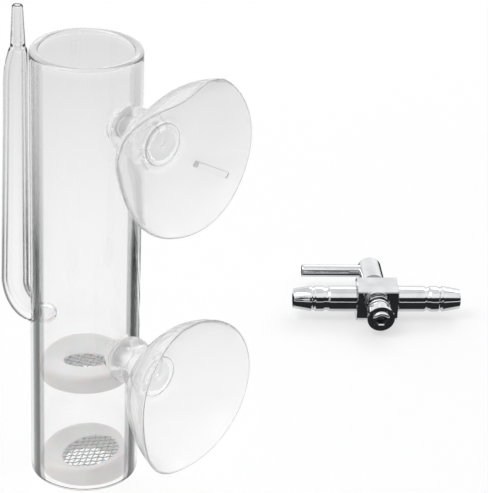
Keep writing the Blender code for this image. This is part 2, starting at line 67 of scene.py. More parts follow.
# %% [markdown]
# ## Places
# The tube's axis comes from the CAD tube's box. The valve's axes come from its joint: the stem runs
# from the spring cap to the lever hub, and the hose tails run across it.

# %% Axes of the tube and the valve
UP = Vector((0, 0, 1))
CUPS_FACE = Vector((1, 0, 0))
joints = {joint["name"]: joint for joint in frame["joints"]}
tube_low, tube_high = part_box("main_tube")
TUBE = Vector(((tube_low.x + tube_high.x) / 2, (tube_low.y + tube_high.y) / 2, 0))
VALVE = Vector(joints["valve_turn"]["pos_m"])
STEM = Vector(joints["valve_turn"]["axis"]).normalized()
ACROSS = STEM.cross(UP)
print("tube axis", [round(v / MM, 2) for v in TUBE], "valve", [round(v / MM, 2) for v in VALVE])

# %% [markdown]
# ## Camera
# The photograph was solved for its camera from the tube's two rims: a long lens, about 27 degrees
# down, with a small roll. The lens is given for a 36 mm film on the picture's long side.

# %% Camera at the photograph's place
FOCAL_PIXELS, LONG_SIDE_PIXELS, FILM_MM = 2177.2, 493, 36
YAW, TILT, ROLL = radians(4.685), radians(27.228), radians(2.457)
CAMERA_BACK, CAMERA_HEIGHT = 437.6 * MM, 283.9 * MM
level_forward = sin(YAW) * ACROSS + cos(YAW) * STEM
forward = cos(TILT) * level_forward - sin(TILT) * UP
rightward = cos(YAW) * ACROSS - sin(YAW) * STEM
upright = rightward.cross(forward)
picture_right = cos(ROLL) * rightward + sin(ROLL) * upright
picture_up = cos(ROLL) * upright - sin(ROLL) * rightward
camera = placed("camera", bpy.data.cameras.new("camera"))
camera.data.sensor_width = FILM_MM
camera.data.lens = FOCAL_PIXELS * FILM_MM / LONG_SIDE_PIXELS
camera.data.clip_start, camera.data.clip_end = 0.01, 20
eye = TUBE - CAMERA_BACK * STEM + CAMERA_HEIGHT * UP
gaze = Matrix((picture_right, picture_up, -forward)).transposed()
camera.matrix_world = Matrix.Translation(eye) @ gaze.to_4x4()
bpy.context.scene.camera = camera
print("lens", round(camera.data.lens, 1), "mm")

# %% [markdown]
# ## One helper for nodes
# Every node tree, for materials and for geometry, is built with one small function that adds a node,
# sets it, and links its inputs. A kind such as Math is short for Blender's ShaderNodeMath. Colours are
# written as sRGB hex and turned to linear once.

# %% Node and colour helpers
def connect(node, inputs):
    """Set inputs: each is a value, a socket to link from, or a node whose first output is linked."""
    for key, value in inputs.items():
        source = value.outputs[0] if isinstance(value, bpy.types.Node) else value
        if isinstance(source, bpy.types.NodeSocket):
            node.id_data.links.new(source, node.inputs[key])
        else:
            node.inputs[key].default_value = source


def add(tree, kind, inputs=None, **settings):
    """Add a node with its settings and its inputs."""
    node = tree.nodes.new(kind if "Node" in kind else f"ShaderNode{kind}")
    for key, value in settings.items():
        setattr(node, key, value)
    connect(node, inputs or {})
    return node


def colour(code):
    """Linear RGBA of an sRGB hex code."""
    parts = [int(code[i : i + 2], 16) / 255 for i in (1, 3, 5)]
    return (*[c / 12.92 if c <= 0.04045 else ((c + 0.055) / 1.055) ** 2.4 for c in parts], 1)


def ramp_stops(node, stops):
    """Give a colour ramp its (position, hex) stops."""
    elements = node.color_ramp.elements
    while len(elements) < len(stops):
        elements.new(0.5)
    for element, (position, code) in zip(elements, stops):
        element.position = position
        element.color = colour(code)


def material(name, **constants):
    """A Principled material with constant sockets, its tree, its shader and its Object coordinates."""
    made = bpy.data.materials.new(name)
    made.use_nodes = True
    tree = made.node_tree
    shader = tree.nodes["Principled BSDF"]
    for key, value in constants.items():
        shader.inputs[key.replace("_", " ")].default_value = value
    print("material", name)
    return made, tree, shader, add(tree, "TexCoord").outputs["Object"]


print("#808080 in linear light", round(colour("#808080")[0], 3))

# %% [markdown]
# ## Glass
# The tube is drawn borosilicate glass, worked in a flame: smooth and colourless. A faint noise stretched
# along the tube gives the slight waviness of drawn glass.

# %% Drawn borosilicate glass
DRAW_LINE_MM, DRAW_LENGTH_MM = 3.0, 60.0
glass_constants = {"Roughness": 0.0, "IOR": 1.473, "Transmission_Weight": 1.0}
glass, tree, shader, where = material("drawn_borosilicate_glass", **glass_constants)
draw_scale = (1000 / DRAW_LINE_MM, 1000 / DRAW_LINE_MM, 1000 / DRAW_LENGTH_MM)
drawn_out = add(tree, "Mapping", {"Vector": where, "Scale": draw_scale})
waviness = add(tree, "TexNoise", {"Vector": drawn_out, "Scale": 1.0, "Detail": 1.0})
ripple = add(tree, "Bump", {"Height": waviness, "Strength": 0.25, "Distance": 0.02 * MM})
print("waves", DRAW_LINE_MM, "by", DRAW_LENGTH_MM, "mm")

# %% [markdown]
# ## Painted edge shade
# Glass in a white studio is dark along its edges, from the surroundings it refracts. Here that shade is
# painted: a ramp over the angle between eye and surface draws dark bands into the glass's colour. The angle
# is first brought back to a level view, as a steep one turns every wall away.

# %% Painted dark bands by the angle to the eye
facing = add(tree, "LayerWeight", {"Blend": 0.5}).outputs["Facing"]
upward = add(tree, "CombineXYZ", {"Z": 1.0})
steepness = add(tree, "LayerWeight", {"Blend": 0.5, "Normal": upward}).outputs["Facing"]
sine = add(tree, "Math", {0: 1.0, 1: steepness}, operation="SUBTRACT")
sine_squared = add(tree, "Math", {0: sine, 1: 2.0}, operation="POWER")
cosine_squared = add(tree, "Math", {0: 1.0, 1: sine_squared}, operation="SUBTRACT")
cosine = add(tree, "Math", {0: cosine_squared}, operation="SQRT")
straight_on = add(tree, "Math", {0: 1.0, 1: facing}, operation="SUBTRACT")
level_share = add(tree, "Math", {0: straight_on, 1: cosine}, operation="DIVIDE")
turned_away = add(tree, "Math", {0: 1.0, 1: level_share}, operation="SUBTRACT", use_clamp=True)
# Painted shade: this ramp darkens the glass's colour where the wall turns from the eye
edge = add(tree, "ValToRGB", {"Fac": turned_away})
edge_bands = [(0.0, "#fcfcfc"), (0.33, "#f3f3f3"), (0.36, "#9b9c9d"), (0.43, "#8f9091"), (0.46, "#222323")]
edge_bands += [(0.55, "#1e1f1f"), (0.66, "#505152"), (0.73, "#e6e7e7"), (1.0, "#b4b5b6")]
ramp_stops(edge, edge_bands)
print("edge bands", len(edge_bands), "stops")

# %% [markdown]
# ## Where the painted shade shows
# The painted dark bands colour the outer skin, where light enters. They leave out the pegs and what faces up,
# and they fade towards the top of the tube.

# %% Painted shade bands on the outer skin
OUTER_SKIN, PEG_SIDE = 11.8 * MM, 12.7 * MM
FADE_START, FADE_END, FADED_SHARE = 60 * MM, 104 * MM, 0.35
surface = add(tree, "NewGeometry").outputs
from_axis = add(tree, "VectorMath", {0: where, 1: tuple(TUBE)}, operation="SUBTRACT")
level_part = add(tree, "VectorMath", {0: from_axis, 1: (1, 1, 0)}, operation="MULTIPLY")
radial = add(tree, "VectorMath", {0: level_part}, operation="LENGTH").outputs["Value"]
axis_parts = add(tree, "SeparateXYZ", {"Vector": from_axis}).outputs
skyward = add(tree, "SeparateXYZ", {"Vector": surface["Normal"]}).outputs["Z"]
banded = add(tree, "Math", {0: radial, 1: OUTER_SKIN}, operation="GREATER_THAN")
entering = add(tree, "Math", {0: 1.0, 1: surface["Backfacing"]}, operation="SUBTRACT")
off_pegs = add(tree, "Math", {0: axis_parts["X"], 1: PEG_SIDE}, operation="LESS_THAN")
upright_range = {"From Min": 0.1, "From Max": 0.45, "To Min": 1.0, "To Max": 0.0}
upright_skin = add(tree, "MapRange", {"Value": skyward, **upright_range})
fade_range = {"From Min": FADE_START, "From Max": FADE_END, "To Min": 1.0, "To Max": FADED_SHARE}
fading = add(tree, "MapRange", {"Value": axis_parts["Z"], **fade_range})
for share in (entering, off_pegs, upright_skin, fading):
    banded = add(tree, "Math", {0: banded, 1: share}, operation="MULTIPLY")
# Painted shade: the dark bands mixed into the glass's colour, near white elsewhere
painted_edge_shade = add(tree, "Mix", {0: banded, 6: colour("#fcfcfc"), 7: edge}, data_type="RGBA")
print("bands fade above", round(FADE_START / MM), "mm")

# %% [markdown]
# ## Fire-polished rim
# The melted rim reads as a pale line in the photograph, from light piped through the glass. That light is
# painted: the rim is partly milky where it faces up.

# %% Painted light on the rim, and the glass joined up
RIM_START, RIM_FULL, RIM_RADIUS = 104.6 * MM, 105.4 * MM, 12.6 * MM
RIM_CLEARNESS = 0.3
on_rim = add(tree, "MapRange", {"Value": axis_parts["Z"], "From Min": RIM_START, "From Max": RIM_FULL})
rim_side = add(tree, "Math", {0: radial, 1: RIM_RADIUS}, operation="LESS_THAN")
rim_facing_up = add(tree, "MapRange", {"Value": skyward, "From Min": 0.2, "From Max": 0.55})
# Painted light: where the rim faces up it loses clearness and shows white
painted_rim_light = on_rim
for share in (rim_side, rim_facing_up):
    painted_rim_light = add(tree, "Math", {0: painted_rim_light, 1: share}, operation="MULTIPLY")
clearness = add(tree, "MapRange", {"Value": painted_rim_light, "To Min": 1.0, "To Max": RIM_CLEARNESS})
connect(shader, {"Transmission Weight": clearness, "Base Color": painted_edge_shade.outputs[2], "Normal": ripple})
print("glass tree", len(tree.nodes), "nodes")

# %% [markdown]
# ## Clear soft PVC
# The suction cups are moulded from soft PVC: clear, glossy, a little milky, with faint flow waves. They
# have three materials: the wall, a painted dark outline on the lip and round the pad, and a dull socket, neck
# end and pad.
# PVC's own index of refraction is near 1.54, but then the neck and the edges go dark on white. The
# shader's 1.1 keeps them pale, and a clear coat of 1.5 gives the gloss back.

# %% Three materials of PVC, with painted edge shade
FLOW_MM = 4.0


def soft_pvc(name, painted_shade_stops, gloss, dull, clearness=0.75):
    """Milky PVC with painted shade by its angle to the eye, and a roughness that wanders from gloss to dull.
    """
    coat = {"Coat_Weight": 0.3, "Coat_Roughness": 0.04, "Coat_IOR": 1.5}
    made, tree, shader, where = material(name, IOR=1.1, Transmission_Weight=clearness, **coat)
    flow = add(tree, "TexNoise", {"Vector": where, "Scale": 1000 / FLOW_MM, "Detail": 2.0})
    haze = add(tree, "MapRange", {"Value": flow, "To Min": gloss, "To Max": dull})
    swell = add(tree, "Bump", {"Height": flow, "Strength": 0.3, "Distance": 0.05 * MM})
    facing = add(tree, "LayerWeight", {"Blend": 0.5}).outputs["Facing"]
    # Painted shade: the ramp greys the colour as the surface turns from the eye
    edge = add(tree, "ValToRGB", {"Fac": facing})
    ramp_stops(edge, painted_shade_stops)
    connect(shader, {"Base Color": edge, "Roughness": haze, "Normal": swell})
    return made


# The wall greys towards its edges as painted shade; the outline material is a flat painted grey for dark
# lines
wall_shade_stops = [(0.0, "#fafafa"), (0.5, "#f5f5f5"), (0.8, "#e7e7e7"), (1.0, "#b6b6b6")]
pvc = soft_pvc("clear_soft_pvc", wall_shade_stops, 0.01, 0.05)
pvc_painted_outline = soft_pvc("clear_soft_pvc_edge", [(0.0, "#a8a8a8"), (1.0, "#9c9c9c")], 0.05, 0.1)
pvc_socket = soft_pvc("clear_soft_pvc_socket", [(0.0, "#f3f3f3"), (1.0, "#e6e6e6")], 0.4, 0.5, 0.6)

# %% [markdown]
# ## Silicone
# The floor rings are translucent silicone rubber: matte, milky grey, with soft light inside it and a
# fine grain of dust.

# %% Milky silicone
CLOUD_MM, DUST_MM = 6.0, 0.25
soft_light = {"Subsurface_Weight": 0.5, "Subsurface_Scale": 2.0 * MM, "Specular_IOR_Level": 0.3}
silicone, tree, shader, where = material("milky_silicone", IOR=1.41, **soft_light)
cloud = add(tree, "TexNoise", {"Vector": where, "Scale": 1000 / CLOUD_MM, "Detail": 3.0})
milk = add(tree, "ValToRGB", {"Fac": cloud})
ramp_stops(milk, [(0.25, "#c7c7c7"), (0.75, "#d1d1d1")])
dust = add(tree, "TexNoise", {"Vector": where, "Scale": 1000 / DUST_MM, "Detail": 1.0})
matte = add(tree, "MapRange", {"Value": dust, "To Min": 0.42, "To Max": 0.62})
grain = add(tree, "Bump", {"Height": dust, "Strength": 0.15, "Distance": 0.02 * MM})
connect(shader, {"Base Color": milk, "Roughness": matte, "Normal": grain})

# %% [markdown]
# ## Metals
# The mesh is drawn stainless wire with a fine mottle. The valve is turned brass under chrome plate: a
# cool mirror with faint pits, whose roughness wanders a little with handling.

# %% Stainless wire
MOTTLE_MM = 0.3
wire_steel, tree, shader, where = material("drawn_stainless_wire", Metallic=1.0)
mottle = add(tree, "TexNoise", {"Vector": where, "Scale": 1000 / MOTTLE_MM, "Detail": 2.0})
bright = add(tree, "ValToRGB", {"Fac": mottle})
ramp_stops(bright, [(0.3, "#8f9090"), (0.7, "#c4c5c5")])
sheen = add(tree, "MapRange", {"Value": mottle, "To Min": 0.2, "To Max": 0.38})
connect(shader, {"Base Color": bright, "Roughness": sheen})

# %% Chrome plate
HANDLING_MM, PITTING_MM = 5.0, 0.5
chrome, tree, shader, where = material("chrome_plated_brass", Metallic=1.0)
handling = add(tree, "TexNoise", {"Vector": where, "Scale": 1000 / HANDLING_MM, "Detail": 4.0})
polish = add(tree, "MapRange", {"Value": handling, "To Min": 0.03, "To Max": 0.12})
plate = add(tree, "ValToRGB", {"Fac": handling})
ramp_stops(plate, [(0.3, "#cbccce"), (0.7, "#dcddde")])
pitting = add(tree, "TexNoise", {"Vector": where, "Scale": 1000 / PITTING_MM, "Detail": 2.0})
pits = add(tree, "Bump", {"Height": pitting, "Strength": 0.12, "Distance": 0.03 * MM})
connect(shader, {"Base Color": plate, "Roughness": polish, "Normal": pits})

# %% [markdown]
# ## Turned shapes
# Most pieces are round. A lathe helper spins a profile of radius and height points about Z and closes the
# poles. It is finer than the CAD's facets, so glass and chrome reflect without breaks.

# %% Profile and lathe helpers
ON_AXIS = 1e-7


def arc(centre, radius, start, end, steps=8):
    """Points of a rounded corner, in degrees from the radial direction."""
    angles = [radians(start + (end - start) * i / steps) for i in range(steps + 1)]
    return [(centre[0] + radius * cos(a), centre[1] + radius * sin(a)) for a in angles]


def flowing(points, steps=6):
    """A smooth profile through points, as a Catmull-Rom curve."""
    knots = [Vector(p) for p in points]
    knots = [2 * knots[0] - knots[1], *knots, 2 * knots[-1] - knots[-2]]
    curve = []
    for a, b, c, d in zip(knots, knots[1:], knots[2:], knots[3:]):
        bend = 2 * a - 5 * b + 4 * c - d
        twist = 3 * b - a - 3 * c + d
        for i in range(steps):
            t = i / steps
            curve.append(0.5 * (2 * b + t * (c - a) + t * t * bend + t**3 * twist))
    return [(p.x, p.y) for p in curve] + [tuple(points[-1])]


def lathe(profile, steps=96):
    """A bmesh of a profile turned about Z; one that starts away from the axis is closed into a ring."""
    made = bmesh.new()
    angles = [2 * pi * k / steps for k in range(steps)]
    rings = []
    for radius, height in profile:
        if radius < ON_AXIS:
            rings.append([made.verts.new((0, 0, height))] * steps)
            continue
        rings.append([made.verts.new((radius * cos(a), radius * sin(a), height)) for a in angles])
    pairs = list(zip(rings, rings[1:]))
    if profile[0][0] > ON_AXIS:
        pairs.append((rings[-1], rings[0]))
    for upper, lower in pairs:
        for k in range(steps):
            n = (k + 1) % steps
            corners = list(dict.fromkeys((upper[k], lower[k], lower[n], upper[n])))
            if len(corners) > 2:
                made.faces.new(corners)
    return made


print("corner of", len(arc((0, 0), 1, 0, 90)), "points")

# %% [markdown]
# ## Meshes and pieces
# A bmesh becomes a mesh in its place, and Booleans join and cut meshes.

# %% Mesh and piece helpers
def along(origin, direction):
    """The matrix that stands a turned shape at origin with its Z along direction."""
    return Matrix.Translation(origin) @ direction.to_track_quat("Z", "Y").to_matrix().to_4x4()


def to_mesh(made, name, matrix=None):
    """Put a bmesh in its place and make it a mesh."""
    if matrix is not None:
        made.transform(matrix)
    mesh = bpy.data.meshes.new(name)
    made.to_mesh(mesh)
    made.free()
    return mesh


def skin(made, rings):
    """Join rings of corners into one closed solid with capped ends."""
    sides = len(rings[0])
    for first, second in zip(rings, rings[1:]):
        for k in range(sides):
            n = (k + 1) % sides
            made.faces.new((first[k], first[n], second[n], second[k]))
    made.faces.new(rings[0][::-1])
    made.faces.new(rings[-1])
    bmesh.ops.recalc_face_normals(made, faces=made.faces)
    return made


def turned(name, outline, origin, direction, steps=96):
    """A mesh turned from an outline in millimetres, standing at origin along direction."""
    return to_mesh(lathe([(r * MM, z * MM) for r, z in outline], steps), name, along(origin, direction))


def round_bar(radius, top, bottom):
    """The outline of a plain round bar between two heights."""
    return [(0, top), (radius, top), (radius, bottom), (0, bottom)]


def show(name, mesh, finishes, body, nodes, crease=35):
    """Make a mesh a finished piece that rides on a body and stands for CAD nodes."""
    mesh.name = name
    marks = [face.material_index for face in mesh.polygons]
    mesh.materials.clear()
    for finish in finishes:
        mesh.materials.append(finish)
    for face, mark in zip(mesh.polygons, marks):
        face.material_index = min(mark, len(finishes) - 1)
    mesh.shade_smooth()
    mesh.set_sharp_from_angle(angle=radians(crease))
    piece = placed(name, mesh)
    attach(piece, body)
    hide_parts(*nodes)
    print(name, len(mesh.polygons), "faces")
    return piece


def evaluated(thing):
    """The mesh that an object's modifiers make, as a plain mesh."""
    bpy.context.view_layer.update()
    return bpy.data.meshes.new_from_object(thing.evaluated_get(bpy.context.evaluated_depsgraph_get()))


def carve(start, *steps):
    """Run exact Booleans on a mesh: each step is an operation and a mesh."""
    target = placed("carving", start)
    helpers = [target]
    for operation, mesh in steps:
        tool = placed("tool", mesh)
        helpers.append(tool)
        cut = target.modifiers.new("cut", "BOOLEAN")
        cut.operation, cut.object, cut.solver = operation, tool, "EXACT"
    result = evaluated(target)
    for helper in helpers:
        bpy.data.objects.remove(helper)
    return result


print("bar outline", round_bar(1, 1, 0))

# %% [markdown]
# ## The glass body
# The tube, its side arm and the two cup pegs are fused into one body in the flame. The outside shapes are
# joined first, then the bores are cut through them, as one clean skin. The top rim is fully round.

# %% Tube, arm and peg sizes
TUBE_RADIUS, WALL = 12.5 * MM, 2.0 * MM
BORE = TUBE_RADIUS - WALL
HEIGHT = tube_high.z
CUP_START = 0.9 * MM
cup_heights = {level: joints[f"{level}_cup_swivel"]["pos_m"][2] for level in ("upper", "lower")}
ARM_OUT = -ACROSS
ARM_HUG = TUBE_RADIUS + 0.15 * MM
ARM_WALL = 0.95 * MM
ARM_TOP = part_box("gas_arm")[1].z
INLET = 41.0 * MM
BEND = 9.0 * MM
print("tube", round(HEIGHT / MM, 1), "mm tall; arm tip at", round(ARM_TOP / MM, 1), "mm")

# %% Tube, outside and hollow
TUBE_STEPS, ROWS = 128, 53
rim, foot = WALL / 2, WALL / 4
wall_middle = TUBE_RADIUS - rim
levels = [HEIGHT - rim - (HEIGHT - rim - foot) * i / ROWS for i in range(1, ROWS)]
outside = [(0, HEIGHT)] + arc((wall_middle, HEIGHT - rim), rim, 90, 0)
outside += [(TUBE_RADIUS, z) for z in levels]
outside += arc((TUBE_RADIUS - foot, foot), foot, 0, -90) + [(0, 0)]
hollow = [(0, HEIGHT + rim), (wall_middle, HEIGHT + rim)]
hollow += arc((wall_middle, HEIGHT - rim), rim, 90, 180) + [(BORE, z) for z in levels]
hollow += arc((BORE + foot, foot), foot, 180, 270) + [(BORE + foot, -rim), (0, -rim)]
stand = Matrix.Translation(TUBE)
tube_solid = to_mesh(lathe(outside, TUBE_STEPS), "tube_outside", stand)
tube_hollow = to_mesh(lathe(hollow, TUBE_STEPS), "tube_hollow", stand)
print("tube outside", len(tube_solid.polygons), "faces")

# %% [markdown]
# ## The side arm
# The arm is a glass tube of changing radius: a drawn tip, a domed shoulder, a widening run that hugs
# the tube, and a bend into the wall. The gas way follows the same line inside it.

# %% The arm's line, and a sweep along it
SHOULDER = 2.1 * MM
BEND_STEPS, BEND_NARROWING = 24, 0.7 * MM
# Height and radius in mm, measured from the arm's top, then twice from the tube's top
tip_shape = [(0, 1.08), (-0.12, 1.17), (-0.4, 1.2)]
shoulder_shape = [(0.4, 1.66), (0, 1.72), (-0.3, 1.92), (-0.55, 2.05), (-0.9, 2.1)]
run_shape = [(-1.8, 2.2), (-3, 2.36), (-5, 2.56), (-8, 2.68)]


def arm_stations(overrun):
    """The arm's line as (outward, height, radius), going past the bore by an overrun."""
    tip = [(ARM_TOP + z * MM, r) for z, r in tip_shape] + [(HEIGHT + z * MM, r) for z, r in shoulder_shape]
    run = [(HEIGHT + z * MM, r) for z, r in run_shape]
    run += [(90 * MM, 2.75), (70 * MM, 2.97), (INLET + BEND, 3.2)]
    stations = [(ARM_HUG + SHOULDER, z, r * MM) for z, r in tip]
    stations += [(ARM_HUG + r * MM, z, r * MM) for z, r in run]
    start, height, radius = stations[-1]
    for i in range(1, BEND_STEPS + 1):
        angle = radians(90) * i / BEND_STEPS
        inward = (start - BORE + overrun) * (1 - cos(angle))
        narrowed = radius - BEND_NARROWING * i / BEND_STEPS
        stations.append((start - inward, height - BEND * sin(angle), narrowed))
    return stations


def sweep(stations, sides=40):
    """A round solid along (outward, height, radius) stations in the arm's plane."""
    made = bmesh.new()
    rings = []
    angles = [2 * pi * k / sides for k in range(sides)]
    path = [TUBE + ARM_OUT * x + UP * z for x, z, r in stations]
    for i, point in enumerate(path):
        run = (path[min(i + 1, len(path) - 1)] - path[max(i - 1, 0)]).normalized()
        inward, radius = STEM.cross(run), stations[i][2]
        ring = [point + radius * (cos(a) * STEM + sin(a) * inward) for a in angles]
        rings.append([made.verts.new(spot) for spot in ring])
    return skin(made, rings)


print("arm line", len(arm_stations(0)), "stations")

# %% Arm, outside and gas way
GAS_OVERRUN, LEAST_GAS_RADIUS, TIP_OVERRUN = 1.2 * MM, 0.65 * MM, 1 * MM
arm_solid = to_mesh(sweep(arm_stations(0)), "arm_outside")
gas_way = [(x, z, max(r - ARM_WALL, LEAST_GAS_RADIUS)) for x, z, r in arm_stations(GAS_OVERRUN)]
gas_way[0] = (gas_way[0][0], ARM_TOP + TIP_OVERRUN, gas_way[0][2])
arm_hollow = to_mesh(sweep(gas_way), "arm_hollow")
print("arm", len(arm_solid.polygons), "faces")

# %% [markdown]
# ## Bulb and pegs
# Where the arm opens inside the tube, it ends in a small bulb with a narrow mouth. The pegs have round
# heads for the cups to grip, and flared feet that run into the wall. Then everything is fused.

# %% Bulb at the inlet
BULB, BULB_HOLLOW, MOUTH = 2.3 * MM, 1.55 * MM, 0.8 * MM
BULB_REACH, BULB_ROOT = 3.9 * MM, 0.8 * MM
dome_at = BORE - BULB_REACH + sqrt(BULB**2 - MOUTH**2)
bulb_outside = [(0, BORE + BULB_ROOT), (BULB, BORE + BULB_ROOT)] + arc((0, dome_at), BULB, 0, -90, 16)
bulb_outside[-1] = (0, dome_at - BULB)
bulb_inside = [(0, BORE + 2 * BULB_ROOT), (BULB_HOLLOW, BORE + 2 * BULB_ROOT)]
bulb_inside += arc((0, dome_at), BULB_HOLLOW, 0, -59, 12)
bulb_inside += [(MOUTH, dome_at - 2 * BULB), (0, dome_at - 2 * BULB)]
inlet_place = along(TUBE + INLET * UP, ARM_OUT)
bulb_solid = to_mesh(lathe(bulb_outside, 64), "bulb", inlet_place)
bulb_way = to_mesh(lathe(bulb_inside, 64), "bulb_way", inlet_place)
print("bulb", len(bulb_solid.polygons), "faces")

# %% Pegs, and the fused body
PEG_LENGTH, PEG_HEAD, PEG_NECK = 9.0 * MM, 2.9 * MM, 2.0 * MM
PEG_FLARE, PEG_ROOT = 4.2 * MM, 1.2 * MM


def peg_solid(height):
    """A peg with a rounded head and a flared foot that runs into the tube wall."""
    tip = CUP_START + PEG_LENGTH
    profile = arc((0, tip - PEG_HEAD), PEG_HEAD, 90, -40, 16)
    profile[0] = (0, tip)
    flare = [(PEG_NECK, tip - 5.6 * MM), (PEG_NECK, 2.6 * MM), (PEG_NECK + 0.25 * MM, 1.4 * MM)]
    flare += [(3.0 * MM, 0.5 * MM), (PEG_FLARE, -0.3 * MM)]
    profile += flowing(flare) + [(PEG_FLARE, -PEG_ROOT), (0, -PEG_ROOT)]
    start = TUBE + TUBE_RADIUS * CUPS_FACE + height * UP
    return to_mesh(lathe(profile, 64), "peg", along(start, CUPS_FACE))


body_mesh = carve(
    tube_solid,
    ("UNION", arm_solid),
    *[("UNION", peg_solid(height)) for height in cup_heights.values()],
    ("DIFFERENCE", tube_hollow),
    ("UNION", bulb_solid),
    ("DIFFERENCE", bulb_way),
    ("DIFFERENCE", arm_hollow),
)
glass_nodes = ["main_tube", "gas_arm", "inlet_nozzle", "upper_glass_peg", "lower_glass_peg"]
glass_body = show("fused_glass_body", body_mesh, [glass], "diffuser_set", glass_nodes)
glass_body.visible_shadow = False

# %% [markdown]
# ## Wire from geometry nodes
# The woven discs and the valve's spring repeat by rule, so Geometry Nodes draw them. Both trees take
# sizes and a finish, and end by giving their curves a round wire.

# %% Helpers for wire trees
def wire_tree(name, sizes):
    """A geometry node tree with its size inputs and a finish, and the sockets that give them."""
    made = bpy.data.node_groups.new(name, "GeometryNodeTree")
    made.interface.new_socket("Geometry", in_out="OUTPUT", socket_type="NodeSocketGeometry")
    for size in sizes:
        made.interface.new_socket(size, in_out="INPUT", socket_type="NodeSocketFloat")
    made.interface.new_socket("Finish", in_out="INPUT", socket_type="NodeSocketMaterial")
    return made, add(made, "NodeGroupInput").outputs


def wire_ending(tree, given, curve, sides):
    """Give a curve its round wire and its finish, as the tree's result."""
    radius = given["Wire Radius"]
    section = add(tree, "GeometryNodeCurvePrimitiveCircle", {"Resolution": sides, "Radius": radius})
    strands = {"Curve": curve, "Profile Curve": section, "Fill Caps": True}
    solid = add(tree, "GeometryNodeCurveToMesh", strands)
    real = add(tree, "GeometryNodeRealizeInstances", {"Geometry": solid})
    dressed = add(tree, "GeometryNodeSetMaterial", {"Geometry": real, "Material": given["Finish"]})
    add(tree, "NodeGroupOutput", {"Geometry": dressed})
    print(tree.name, len(tree.nodes), "nodes")


def grown(name, tree, **sizes):
    """Evaluate a geometry node tree with its inputs set, as a plain mesh."""
    seed = placed(name, bpy.data.meshes.new(name))
    modifier = seed.modifiers.new("grow", "NODES")
    modifier.node_group = tree
    keys = {item.name: item.identifier for item in tree.interface.items_tree if item.in_out == "INPUT"}
    for key, value in sizes.items():
        modifier[keys[key.replace("_", " ")]] = value
    mesh = evaluated(seed)
    bpy.data.objects.remove(seed)
    return mesh


# %% [markdown]
# ## Mesh floors
# Each floor is a silicone ring pressed into the bore, with a disc of woven wire moulded into it.
# The wires run in two directions, lifted by one wave with opposite signs, so that they pass over and
# under at every crossing.

# %% The weave's wave and count
weave, given = wire_tree("woven_wire_disc", ("Pitch", "Wire Radius", "Disc Radius"))
here = add(weave, "GeometryNodeInputPosition")
level_x, level_y = add(weave, "SeparateXYZ", {"Vector": here}).outputs[:2]
both = add(weave, "Math", {0: level_x, 1: level_y}, operation="ADD")
turns = add(weave, "Math", {0: both, 1: given["Pitch"]}, operation="DIVIDE")
phase = add(weave, "Math", {0: turns, 1: pi}, operation="MULTIPLY")
wave = add(weave, "Math", {0: phase}, operation="COSINE")
lift = add(weave, "Math", {0: wave, 1: given["Wire Radius"]}, operation="MULTIPLY")
drop = add(weave, "Math", {0: lift, 1: -1.0}, operation="MULTIPLY")
near_end = add(weave, "Math", {0: given["Disc Radius"], 1: -1.0}, operation="MULTIPLY")
pitches = add(weave, "Math", {0: given["Disc Radius"], 1: given["Pitch"]}, operation="DIVIDE")
half = add(weave, "Math", {0: pitches}, operation="FLOOR")
count = add(weave, "Math", {0: half, 1: 2.0, 2: 1.0}, operation="MULTIPLY_ADD")
reach = add(weave, "Math", {0: half, 1: given["Pitch"]}, operation="MULTIPLY")
begin = add(weave, "Math", {0: reach, 1: -1.0}, operation="MULTIPLY")
print("wave from", len(weave.nodes), "nodes")

# %% The weave's wires, cut to a disc
WIRE_POINTS, WIRE_SIDES = 97, 8
sheets = []
for run, other, rise in (("X", "Y", lift), ("Y", "X", drop)):
    start = add(weave, "CombineXYZ", {run: near_end})
    end = add(weave, "CombineXYZ", {run: given["Disc Radius"]})
    line = add(weave, "GeometryNodeCurvePrimitiveLine", {"Start": start, "End": end})
    fine = add(weave, "GeometryNodeResampleCurve", {"Curve": line, "Count": WIRE_POINTS})
    origin = add(weave, "CombineXYZ", {other: begin})
    step = add(weave, "CombineXYZ", {other: given["Pitch"]})
    rack = add(weave, "GeometryNodeMeshLine", {"Count": count, "Start Location": origin, "Offset": step})
    wires = add(weave, "GeometryNodeInstanceOnPoints", {"Points": rack, "Instance": fine})
    loose = add(weave, "GeometryNodeRealizeInstances", {"Geometry": wires})
    offset = add(weave, "CombineXYZ", {"Z": rise})
    sheets.append(add(weave, "GeometryNodeSetPosition", {"Geometry": loose, "Offset": offset}))
joined = add(weave, "GeometryNodeJoinGeometry")
for sheet in sheets:
    connect(joined, {0: sheet})
flat = add(weave, "CombineXYZ", {"X": level_x, "Y": level_y})
away = add(weave, "VectorMath", {0: flat}, operation="LENGTH").outputs["Value"]
beyond = add(weave, "FunctionNodeCompare", {0: away, 1: given["Disc Radius"]}, operation="GREATER_THAN")
trimmed = add(weave, "GeometryNodeDeleteGeometry", {"Geometry": joined, "Selection": beyond}, domain="POINT")
wire_ending(weave, given, trimmed, WIRE_SIDES)

# %% [markdown]
# ## Rings in the bore
# A ring dips towards its hole and has soft edges. It lies at a small slope, its hole is off centre and
# carries the slope of the wire, and behind, the silicone climbs the glass a little.

# %% Ring shape
FLOOR_THICK, MESH_DEPTH = 4.7 * MM, 1.3 * MM
RING_EDGE, SOFT, CLIMB = BORE - 0.1 * MM, 1.1 * MM, 0.8 * MM
# Slopes and the turn of the weave in degrees; narrowing is the share by which the hole is squeezed
Floor = namedtuple("Floor", "base hole shift narrowing ring_slope mesh_slope weave_turn")
floors = {
    "upper": Floor(25.0 * MM, 5.2 * MM, 0.3 * MM, 0.42, 1.5, 0.5, 25),
    "lower": Floor(0.2 * MM, 6.4 * MM, 1.2 * MM, 0.0, 4.0, 14.0, 35),
}


